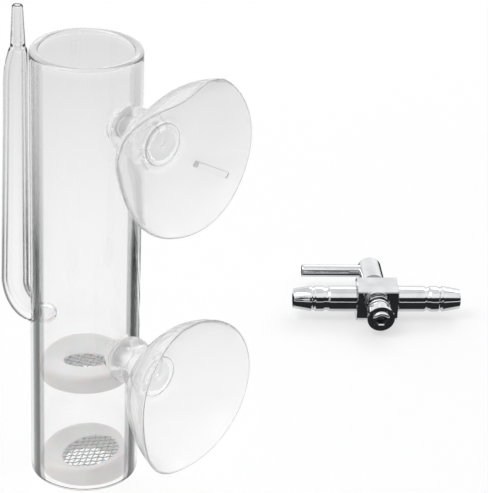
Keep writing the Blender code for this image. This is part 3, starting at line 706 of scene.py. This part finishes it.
def ring_profile(hole):
    """(radius, height) round a silicone ring, from its top edge round to the dip at its hole."""
    fall = ((0, 1.25), (0.15, 1.05), (0.6, 0.85), (1.6, 0.5))
    dip = [(hole + r * MM, FLOOR_THICK - z * MM) for r, z in fall]
    profile = arc((RING_EDGE - SOFT, FLOOR_THICK - SOFT), SOFT, 90, 0)
    profile += arc((RING_EDGE - SOFT, SOFT / 2), SOFT / 2, 0, -90)
    profile += arc((hole + SOFT / 2, SOFT / 2), SOFT / 2, -90, -180)
    return profile + flowing([*dip, (RING_EDGE - SOFT, FLOOR_THICK)])[:-1]


def settled(point, size):
    """Where a point of a true ring comes to lie in the bore."""
    outward = hypot(point.x, point.y)
    inward = min(1, max(0, (RING_EDGE - outward) / (RING_EDGE - size.hole)))
    height_share = min(1, max(0, point.z / FLOOR_THICK))
    across, deep = point.dot(ACROSS), point.dot(STEM)
    shift = size.shift * inward
    across += shift
    slope = size.ring_slope + (size.mesh_slope - size.ring_slope) * inward
    rise = height_share * tan(radians(slope)) * (across - shift)
    rise += height_share * (1 - inward) * CLIMB * max(0.0, deep / RING_EDGE)
    level_point = across * ACROSS + deep * (1 - size.narrowing * inward**1.5) * STEM
    return (level_point.x, level_point.y, point.z + rise)


print("ring profile", len(ring_profile(floors["upper"].hole)), "points")

# %% Rings and woven discs
WIRE, PITCH, MESH_GRIP = 0.28 * MM, 1.4 * MM, 0.7 * MM
for level, size in floors.items():
    ring = lathe(ring_profile(size.hole))
    for vert in ring.verts:
        vert.co = settled(vert.co, size)
    ring_mesh = to_mesh(ring, "ring", Matrix.Translation(TUBE + size.base * UP))
    ring_nodes = [f"{level}_silicone_ring"]
    ring_piece = show(f"{level}_floor_ring", ring_mesh, [silicone], "diffuser_set", ring_nodes)
    ring_piece.visible_shadow = False
    disc_sizes = {"Pitch": PITCH, "Wire_Radius": WIRE / 2, "Disc_Radius": size.hole + MESH_GRIP}
    disc = grown("weave", weave, **disc_sizes, Finish=wire_steel)
    lie = Matrix.Translation(TUBE + size.shift * ACROSS + (size.base + FLOOR_THICK - MESH_DEPTH) * UP)
    lie = lie @ Matrix.Rotation(-radians(size.mesh_slope), 4, STEM)
    lie = lie @ Matrix.Rotation(radians(size.weave_turn), 4, "Z")
    disc.transform(lie)
    disc_nodes = [f"{level}_wire_mesh"]
    disc_piece = show(f"{level}_woven_disc", disc, [wire_steel], "diffuser_set", disc_nodes)
    disc_piece.visible_shadow = False

# %% [markdown]
# ## Suction cups
# A cup is one soft moulding: a ringed neck that grips the peg, a bell-shaped dish with a thin lip, and a
# flat pad with a groove in it and a moat round it. A small moulded rib stands on the dish.

# %% Cup profile
DISH = [(6.2, 12.0), (8.4, 13.0), (10.8, 14.4), (13.0, 15.9), (14.9, 17.5), (16.4, 19.3)]
# Radius and height in mm from the pad's middle, over the lip, down the back and into the socket
pad = [(0, 12.0), (0.4, 12.0), (0.55, 11.8), (0.8, 11.8), (0.95, 12.0), (3.3, 12.0), (3.45, 11.9)]
pad += [(3.55, 11.5), (3.75, 11.35), (3.95, 11.5), (4.05, 11.9), (4.2, 12.0)]
pad += [(4.65, 12.0), (4.8, 11.9), (4.85, 11.5), (5.0, 11.25), (5.5, 11.2), (5.9, 11.5)]
lip = [(17.65, 21.47), (17.8, 21.5), (17.93, 21.44), (18.0, 21.25)]
back = [(17.9, 20.7), (16.9, 18.5), (15.3, 16.4), (13.3, 14.7), (11.1, 13.1), (8.6, 11.4), (6.6, 9.9)]
neck = [(5.3, 8.8), (4.75, 8.2), (4.5, 7.6), (4.75, 7.0), (5.1, 6.4), (5.15, 5.6), (4.75, 5.0)]
neck += [(4.45, 4.5), (4.75, 4.0), (5.3, 3.2), (5.4, 2.2), (5.3, 1.2), (4.9, 0.4), (4.4, 0.0)]
socket = [(2.15, 0), (2.15, 3.2)] + arc((0, 6.1), 3.05, -40, 90, 13)
socket[-1] = (0, socket[-1][1])
cup_outline = pad + flowing([*DISH, (17.5, 21.3)]) + lip
cup_outline += flowing([*back, neck[0]]) + flowing(neck)[1:] + socket
print("cup outline", len(cup_outline), "points")

# %% Rib and zones of a cup
RIB_INNER, RIB_OUTER, RIB_STEPS = 9.5, 15.8, 12
RIB_HALF, RIB_TALL, RIB_SKEW, RIB_SUNK = 0.75, 0.8, 1.2, 0.25
RIB_BLOCK, RIB_TAPER, RIB_CREST = 1.7, 0.5, 0.8
LIP_RADIUS, LIP_HEIGHT = 17.9, 21.2
PAD_RING_INNER, PAD_RING_OUTER, PAD_RING_HEIGHT = 4.7, 4.9, 11
DULL_RADIUS, SOCKET_TOP, PAD_HEIGHT = 3.4, 10, 11.7
# The second material is the painted dark outline
cup_materials = [pvc, pvc_painted_outline, pvc_socket]


def rib_solid(heading):
    """A moulded rib that runs outwards on the dish, with a small block at its inner end."""
    made = bmesh.new()
    outward = Vector((sin(radians(heading)), cos(radians(heading)), 0))
    sideways = outward.cross(UP)
    rows = []
    for i in range(RIB_STEPS + 1):
        r = RIB_INNER + (RIB_OUTER - RIB_INNER) * i / RIB_STEPS
        dish_height = float(np.interp(r, [x for x, z in DISH], [z for x, z in DISH]))
        top = RIB_TALL * (RIB_BLOCK if i < 2 else 1.0 - RIB_TAPER * i / RIB_STEPS)
        drift = RIB_SKEW * i / RIB_STEPS
        corners = [(-RIB_HALF, -RIB_SUNK), (RIB_HALF, -RIB_SUNK)]
        corners += [(RIB_HALF * RIB_CREST, top), (-RIB_HALF * RIB_CREST, top)]
        spots = [r * outward + (w - drift) * sideways + (dish_height + h) * UP for w, h in corners]
        rows.append([made.verts.new(spot * MM) for spot in spots])
    # The rib's sides take the painted dark outline material; its top keeps the wall's
    for face in skin(made, rows).faces:
        face.material_index = 0 if face.normal.z > 0.5 else 1
    mesh = to_mesh(made, "rib")
    for finish in cup_materials[:2]:
        mesh.materials.append(finish)
    return mesh


def cup_zone(point):
    """Which of the cup's materials a face has, from its middle; the lip and the ring round the pad take the
    painted dark outline.
    """
    r, z = point.to_2d().length / MM, point.z / MM
    on_lip = r > LIP_RADIUS and z > LIP_HEIGHT
    on_pad_ring = PAD_RING_INNER < r < PAD_RING_OUTER and z > PAD_RING_HEIGHT
    if on_lip or on_pad_ring:
        return 1
    return 2 if r < DULL_RADIUS and (z < SOCKET_TOP or z > PAD_HEIGHT) else 0


print("rib", round(RIB_OUTER - RIB_INNER, 1), "mm long")

# %% [markdown]
# ## The soft lip
# A soft lip never stays true, so a slow wave bends it, given by knots that follow each cup's outline in
# the photograph. The upper cup curls forward only near its edge.

# %% Mould the cups
# How far the soft lip stands forward of true, in mm, by degrees round it from the top
upper_wave = [(0, 3.0), (20, 0.9), (41, -1.3), (83, -1.2), (117, -1.1), (160, -0.3), (195, -0.7), (240, -1.0)]
upper_wave += [(262, -2.0), (281, -3.6), (300, -2.9), (318, 0.5), (332, 3.8), (342, 4.5), (351, 4.0)]
lower_wave = [(0, 1.6), (60, 1.4), (120, 1.3), (180, 1.8), (215, 4.0), (245, 6.3), (262, 6.7), (278, 6.0)]
lower_wave += [(292, 5.0), (320, 3.4), (340, 2.2)]
lip_wave = {"upper": upper_wave, "lower": lower_wave}
rib_at = {"upper": 128, "lower": 300}
forward_curl, back_curl = {"upper": 5, "lower": 2}, 2
CUP_RADIUS, STIFF_SHARE, SOFT_SHARE = 18 * MM, 0.42, 0.58
for cup_name, cup_height in cup_heights.items():
    plain = lathe([(r * MM, z * MM) for r, z in cup_outline], 160)
    for face in plain.faces:
        face.material_index = cup_zone(face.calc_center_median())
    plain_mesh = to_mesh(plain, "plain_cup")
    for finish in cup_materials:
        plain_mesh.materials.append(finish)
    moulding = bmesh.new()
    moulding.from_mesh(carve(plain_mesh, ("UNION", rib_solid(rib_at[cup_name]))))
    knots = lip_wave[cup_name]
    before, after = [(a - 360, d) for a, d in knots[-3:]], [(a + 360, d) for a, d in knots[:3]]
    wave_angles, wave_offsets = zip(*flowing(before + knots + after))
    for vert in moulding.verts:
        spread = max(0.0, hypot(vert.co.x, vert.co.y) / CUP_RADIUS - STIFF_SHARE) / SOFT_SHARE
        heading = degrees(atan2(vert.co.x, vert.co.y)) % 360
        forward_by = float(np.interp(heading, wave_angles, wave_offsets))
        vert.co.z += forward_by * MM * spread ** (forward_curl[cup_name] if forward_by > 0 else back_curl)
    seat = TUBE + (TUBE_RADIUS + CUP_START) * CUPS_FACE + cup_height * UP
    cup_mesh = to_mesh(moulding, "cup", along(seat, CUPS_FACE))
    cup_nodes = [f"{cup_name}_suction_cup"]
    cup_body = f"{cup_name}_cup"
    cup = show(f"{cup_name}_moulded_cup", cup_mesh, cup_materials, cup_body, cup_nodes, 50)
    cup.visible_shadow = False

# %% [markdown]
# ## Valve body
# The valve is a chamfered block with two hose tails. Each tail is turned with a plain land, two notches
# that bite the hose, and a tapered nose. Small bevels catch the light. The outlines are in millimetres.

# %% Block
VALVE_AXES = Matrix.Translation(VALVE) @ Matrix((ACROSS, STEM, UP)).transposed().to_4x4()
WIDTH, DEPTH, TALL, CHAMFER, BEVEL = 11.0, 7.5, 10.5, 1.4, 0.12
PLUG_BORE, GAS_WAY = 2.72, 1.5
block = bmesh.new()
bmesh.ops.create_cube(block, size=1.0, matrix=Matrix.Diagonal((WIDTH * MM, DEPTH * MM, TALL * MM, 1)))
long_edges = [e for e in block.edges if abs(e.verts[0].co.x - e.verts[1].co.x) > WIDTH * MM / 2]
bmesh.ops.bevel(block, geom=long_edges, offset=CHAMFER * MM, segments=1, affect="EDGES")
all_edges = list(block.edges)
bmesh.ops.bevel(block, geom=all_edges, offset=BEVEL * MM, segments=2, affect="EDGES", clamp_overlap=True)
block_mesh = to_mesh(block, "block", VALVE_AXES)
bore_mesh = turned("bore", round_bar(PLUG_BORE, DEPTH, -DEPTH), VALVE, STEM, 64)
way_mesh = turned("way", round_bar(GAS_WAY, WIDTH, -WIDTH), VALVE, ACROSS, 48)
block_mesh = carve(block_mesh, ("DIFFERENCE", bore_mesh), ("DIFFERENCE", way_mesh))
show("chamfered_block", block_mesh, [chrome], "diffuser_set", ["valve_block"], 25)

# %% Hose tails
# Radius and distance from the block's middle, down the outside of a tail and back up its bore
tail = [(GAS_WAY, 22.5), (2.3, 22.5), (2.55, 22.42), (2.66, 22.2), (3.34, 18.3), (3.42, 18.0), (3.4, 17.75)]
tail += [(3.12, 17.35), (3.1, 17.15), (3.12, 16.95), (3.4, 16.6), (3.45, 16.3), (3.45, 14.7), (3.4, 14.4)]
tail += [(3.14, 13.9), (3.1, 13.6), (3.14, 13.3), (3.4, 12.85), (3.45, 12.6), (3.45, 5.75), (3.35, 5.65)]
tail += [(2.4, 5.65), (2.4, 4.0), (GAS_WAY, 4.0)]
for tail_name, sign in (("left", -1), ("right", 1)):
    tail_mesh = turned("tail", tail, VALVE, sign * ACROSS)
    tail_nodes = [f"{tail_name}_hose_tail"]
    show(f"{tail_name}_turned_tail", tail_mesh, [chrome], "diffuser_set", tail_nodes, 20)

# %% [markdown]
# ## Valve key
# The hub, the tapered plug and its spindle are one turned bar, with a cross hole for the gas and a stop
# flat on the hub. The lever is a rod pressed into the hub. On the near side a washer, a coil spring, a
# flanged cap and a socket screw draw the plug home.

# %% Key and lever
LEVER_DEPTH, LEVER_SEAT = 15.9, 1.78
STOP_WIDE, STOP_LONG, STOP_TALL, STOP_DEPTH, STOP_FLAT = 8, 3.6, 4.0, 5.7, 2.15
key = [(0, 18.1), (2.75, 18.1)] + arc((2.75, 17.6), 0.5, 90, 0, 6)
key += [(3.25, 4.4), (3.1, 4.2), (3.1, 3.9), (2.7, 3.9), (2.45, -3.75), (1.75, -3.75)]
key += [(1.75, -8.95), (0, -8.95)]
key_mesh = turned("key", key, VALVE, STEM)
cross_mesh = turned("cross", round_bar(GAS_WAY, 6, -6), VALVE, ACROSS, 48)
lever_line = VALVE + LEVER_DEPTH * MM * STEM
seat_mesh = turned("seat", round_bar(LEVER_SEAT, 6, 1.0), lever_line, -ACROSS, 64)
stop = bmesh.new()
stop_middle = Matrix.Translation((0, STOP_DEPTH * MM, (STOP_FLAT + STOP_TALL / 2) * MM))
stop_size = Matrix.Diagonal((STOP_WIDE * MM, STOP_LONG * MM, STOP_TALL * MM, 1))
bmesh.ops.create_cube(stop, size=1.0, matrix=stop_middle @ stop_size)
stop_mesh = to_mesh(stop, "stop", VALVE_AXES)
key_mesh = carve(key_mesh, *[("DIFFERENCE", cut) for cut in (cross_mesh, seat_mesh, stop_mesh)])
show("turned_key", key_mesh, [chrome], "valve_key", ["valve_plug"], 25)
rod = [(0, 18.8), (1.45, 18.8), (1.62, 18.72), (1.7, 18.5), (1.7, 1.2), (0, 1.2)]
rod_mesh = turned("rod", rod, lever_line, -ACROSS, 64)
show("lever_rod", rod_mesh, [chrome], "valve_key", ["valve_lever"], 25)

# %% Washer, cap and screw
washer = [(3.1, -3.9), (3.2, -4.0), (3.2, -4.4), (3.1, -4.5), (1.9, -4.5), (1.9, -3.9)]
washer_mesh = turned("washer", washer, VALVE, STEM)
show("flat_washer", washer_mesh, [chrome], "diffuser_set", ["thrust_washer"], 25)

CAP_TOP, CAP_END = -8.2, -11.2
cap = [(1.9, CAP_TOP), (3.35, CAP_TOP), (3.5, CAP_TOP - 0.15), (3.5, CAP_END + 0.75)]
cap += [(3.58, CAP_END + 0.65), (3.65, CAP_END + 0.55), (3.65, CAP_END + 0.12), (3.53, CAP_END)]
cap += [(2.7, CAP_END), (2.6, CAP_END + 0.1), (2.6, CAP_END + 0.3), (1.05, CAP_END + 0.3)]
cap += [(1.05, CAP_TOP - 1.0), (1.9, CAP_TOP - 1.0)]
cap_mesh = turned("cap", cap, VALVE, STEM)
show("flanged_cap", cap_mesh, [chrome], "valve_key", ["retaining_cap"], 25)

SEAT = CAP_END + 0.15
screw = [(0, SEAT + 4.0), (0.9, SEAT + 4.0), (0.9, SEAT), (2.4, SEAT), (2.4, SEAT - 0.25)]
for turn in range(12, 91, 13):
    angle = radians(turn)
    screw.append((2.4 - 1.0 * (1 - cos(angle)), SEAT - 0.25 - 0.95 * sin(angle)))
screw.append((0, SEAT - 1.2))
hexagon = [(0, SEAT + 0.6), (1.25, SEAT + 0.6), (1.25, SEAT - 0.9), (1.6, SEAT - 1.3), (0, SEAT - 1.3)]
hexagon_mesh = turned("hexagon", hexagon, VALVE, STEM, 6)
screw_mesh = carve(turned("screw", screw, VALVE, STEM, 72), ("DIFFERENCE", hexagon_mesh))
show("socket_screw", screw_mesh, [chrome], "valve_key", ["cap_screw"], 25)

# %% [markdown]
# ## Spring
# The spring is a spiral curve with a round wire.

# %% Coil spring as a node tree
SPRING_START = 5.05 * MM
coil, given = wire_tree("coil_spring", ("Turns", "Radius", "Length", "Wire Radius"))
shape = {"Resolution": 48, "Rotations": given["Turns"], "Height": given["Length"]}
shape |= {"Start Radius": given["Radius"], "End Radius": given["Radius"]}
helix = add(coil, "GeometryNodeCurveSpiral", shape)
wire_ending(coil, given, helix, 16)
spring_sizes = {"Turns": 2.0, "Radius": 2.7 * MM, "Length": 2.6 * MM, "Wire_Radius": 0.4 * MM}
spring_mesh = grown("spring", coil, **spring_sizes, Finish=chrome)
spring_mesh.transform(along(VALVE - SPRING_START * STEM, -STEM))
show("wound_spring", spring_mesh, [chrome], "valve_key", ["plug_spring"])

# %% [markdown]
# ## Stage
# The photograph is a studio shot on white. The floor is pale and matt, and partly lit by itself. Mirrors
# near the valve see a painted dark reflection in the floor, apart from painted light strips under the tails
# and the lever, so the chrome keeps its dark lower half. Seen through glass, the floor greys with the
# distance from the tube, as painted shade.

# %% Floor sheet
floor_shape = bmesh.new()
bmesh.ops.create_grid(floor_shape, x_segments=1, y_segments=1, size=3.0)
floor = placed("floor", to_mesh(floor_shape, "floor"))
paper_white = {"Base_Color": colour("#f6f6f6"), "Roughness": 0.9, "Specular_IOR_Level": 0.1}
pale, tree, shader, spot = material("pale_floor", **paper_white)
floor.data.materials.append(pale)

# %% Where mirrors see a painted dark reflection
DARK_OUTER, DARK_INNER = 75 * MM, 55 * MM
STRIP_EDGE, STRIP_END = 3.2 * MM, 4.4 * MM
below_valve = (VALVE.x, VALVE.y, 0)
ray = add(tree, "LightPath").outputs
in_air = add(tree, "Math", {0: ray["Transmission Depth"], 1: 0.5}, operation="LESS_THAN")
off_valve = add(tree, "VectorMath", {0: spot, 1: below_valve}, operation="SUBTRACT")
apart = add(tree, "VectorMath", {0: spot, 1: below_valve}, operation="DISTANCE").outputs["Value"]
depth = add(tree, "VectorMath", {0: off_valve, 1: tuple(STEM)}, operation="DOT_PRODUCT")
by_valve = add(tree, "MapRange", {"Value": apart, "From Min": DARK_OUTER, "From Max": DARK_INNER})
dark_shares = [in_air, by_valve]
# Painted highlights: light strips under the tails and the lever stay out of the dark reflection
for bar_depth in (0.0, LEVER_DEPTH * MM):
    aside = add(tree, "Math", {0: depth.outputs["Value"], 1: bar_depth}, operation="SUBTRACT")
    gap = add(tree, "Math", {0: aside}, operation="ABSOLUTE")
    off_strip = add(tree, "MapRange", {"Value": gap, "From Min": STRIP_EDGE, "From Max": STRIP_END})
    dark_shares.append(off_strip)
mirrored = ray["Is Glossy Ray"]
for share in dark_shares:
    mirrored = add(tree, "Math", {0: mirrored, 1: share}, operation="MULTIPLY")
print("dark floor within", round(DARK_OUTER / MM), "mm of the valve")

# %% What each ray sees of the floor
WHITE_WITHIN, GREY_BEYOND = 40 * MM, 260 * MM
# Painted reflection: this dark emission is what mirrors near the valve see of the floor
dark = add(tree, "Emission", {"Color": colour("#2e2e2f"), "Strength": 1.0})
lit = add(tree, "Emission", {"Color": colour("#fbfbfb"), "Strength": 1.15})
lit_floor = add(tree, "MixShader", {0: 0.5, 1: shader, 2: lit})
far = add(tree, "VectorMath", {0: spot, 1: tuple(TUBE)}, operation="DISTANCE").outputs["Value"]
fade = add(tree, "MapRange", {"Value": far, "From Min": WHITE_WITHIN, "From Max": GREY_BEYOND})
# Painted shade: seen through glass, the floor greys with its distance from the tube
tone = add(tree, "ValToRGB", {"Fac": fade})
ramp_stops(tone, [(0.0, "#fefefe"), (0.4, "#f9f9f9"), (0.75, "#ededed"), (1.0, "#e2e2e2")])
behind_glass = add(tree, "Emission", {"Color": tone, "Strength": 1.0})
in_glass = add(tree, "Math", {0: ray["Transmission Depth"], 1: 0.5}, operation="GREATER_THAN")
viewed = add(tree, "MixShader", {0: in_glass, 1: lit_floor, 2: behind_glass})
floor_look = add(tree, "MixShader", {0: mirrored, 1: viewed, 2: dark})
connect(tree.nodes["Material Output"], {"Surface": floor_look})
print("floor tree", len(tree.nodes), "nodes")

# %% [markdown]
# ## Light
# Soft light comes from above and behind, and the room is dark in front and below. The dome has a ramp
# for mirrors and matt surfaces, one for what is seen through glass, and one for light that glass
# reflects inside itself. The camera sees plain white, and two softboxes add shape.

# %% Studio dome
FRONT_SHADE, DOME_POWER, MIRROR_BOOST = -0.45, 0.82, 0.4
world = bpy.data.worlds.new("studio_dome")
bpy.context.scene.world = world
world.use_nodes = True
tree = world.node_tree
tree.nodes.clear()
sky = add(tree, "TexCoord").outputs["Generated"]
overhead = add(tree, "VectorMath", {0: sky, 1: (0, 0, 1)}, operation="DOT_PRODUCT").outputs["Value"]
front = add(tree, "VectorMath", {0: sky, 1: -STEM}, operation="DOT_PRODUCT").outputs["Value"]
shade = add(tree, "Math", {0: front, 1: FRONT_SHADE, 2: overhead}, operation="MULTIPLY_ADD")
dome_stops = [(0.0, "#262627"), (0.2, "#2e2e2f"), (0.28, "#f4f4f4"), (0.6, "#ffffff"), (0.9, "#f2f2f2")]
dome_stops += [(0.925, "#7d7e80"), (0.95, "#f2f2f2"), (1.0, "#e4e5e6")]
through_stops = [(0.0, "#b4b5b5"), (0.12, "#d6d7d7"), (0.3, "#f2f2f2"), (1.0, "#ffffff")]
within_stops = [(0.0, "#ffffff"), (0.4, "#e0e0e0"), (1.0, "#7c7c7c")]
ramps = []
for stops in (dome_stops, through_stops, within_stops):
    ramps.append(add(tree, "ValToRGB", {"Fac": shade}))
    ramp_stops(ramps[-1], stops)
dome, through_glass, within_glass = ramps
print("dome", len(ramps), "ramps")

# %% What each ray sees of the dome
ray = add(tree, "LightPath").outputs
inside = add(tree, "Math", {0: ray["Transmission Depth"], 1: 0.5}, operation="GREATER_THAN")
unscattered = add(tree, "Math", {0: ray["Diffuse Depth"], 1: 0.5}, operation="LESS_THAN")
refracted = add(tree, "Math", {0: ray["Is Transmission Ray"], 1: unscattered}, operation="MULTIPLY")
by_glass = add(tree, "Mix", {0: refracted, 6: within_glass, 7: through_glass}, data_type="RGBA")
surround = add(tree, "Mix", {0: inside, 6: dome, 7: by_glass.outputs[2]}, data_type="RGBA")
boost = {0: ray["Is Glossy Ray"], 1: MIRROR_BOOST, 2: DOME_POWER}
power = add(tree, "Math", boost, operation="MULTIPLY_ADD")
room = add(tree, "Background", {"Color": surround.outputs[2], "Strength": power})
paper = add(tree, "Background", {"Color": colour("#f4f4f4"), "Strength": 1.0})
backdrop = add(tree, "MixShader", {0: ray["Is Camera Ray"], 1: room, 2: paper})
add(tree, "OutputWorld", {"Surface": backdrop})
print("dome tree", len(tree.nodes), "nodes")

# %% Softboxes
def softbox(name, place, aim, width, tall, watts):
    """A rectangular area light that looks at a point."""
    lamp = bpy.data.lights.new(name, "AREA")
    lamp.shape, lamp.size, lamp.size_y, lamp.energy = "RECTANGLE", width, tall, watts
    look = (aim - place).to_track_quat("-Z", "Y").to_matrix()
    placed(name, lamp).matrix_world = Matrix.Translation(place) @ look.to_4x4()
    print(name, width, "by", tall, "m,", watts, "W")


centre = TUBE + 40 * MM * ACROSS + 40 * MM * UP
key_place = centre - 0.5 * ACROSS - 0.1 * STEM + 0.8 * UP
back_place = centre + 0.3 * ACROSS + 0.7 * STEM + 0.6 * UP
softbox("key_softbox", key_place, centre, width=0.5, tall=0.5, watts=2.2)
softbox("back_softbox", back_place, centre, width=0.8, tall=0.3, watts=1.9)
bpy.context.scene.view_settings.view_transform = "Standard"
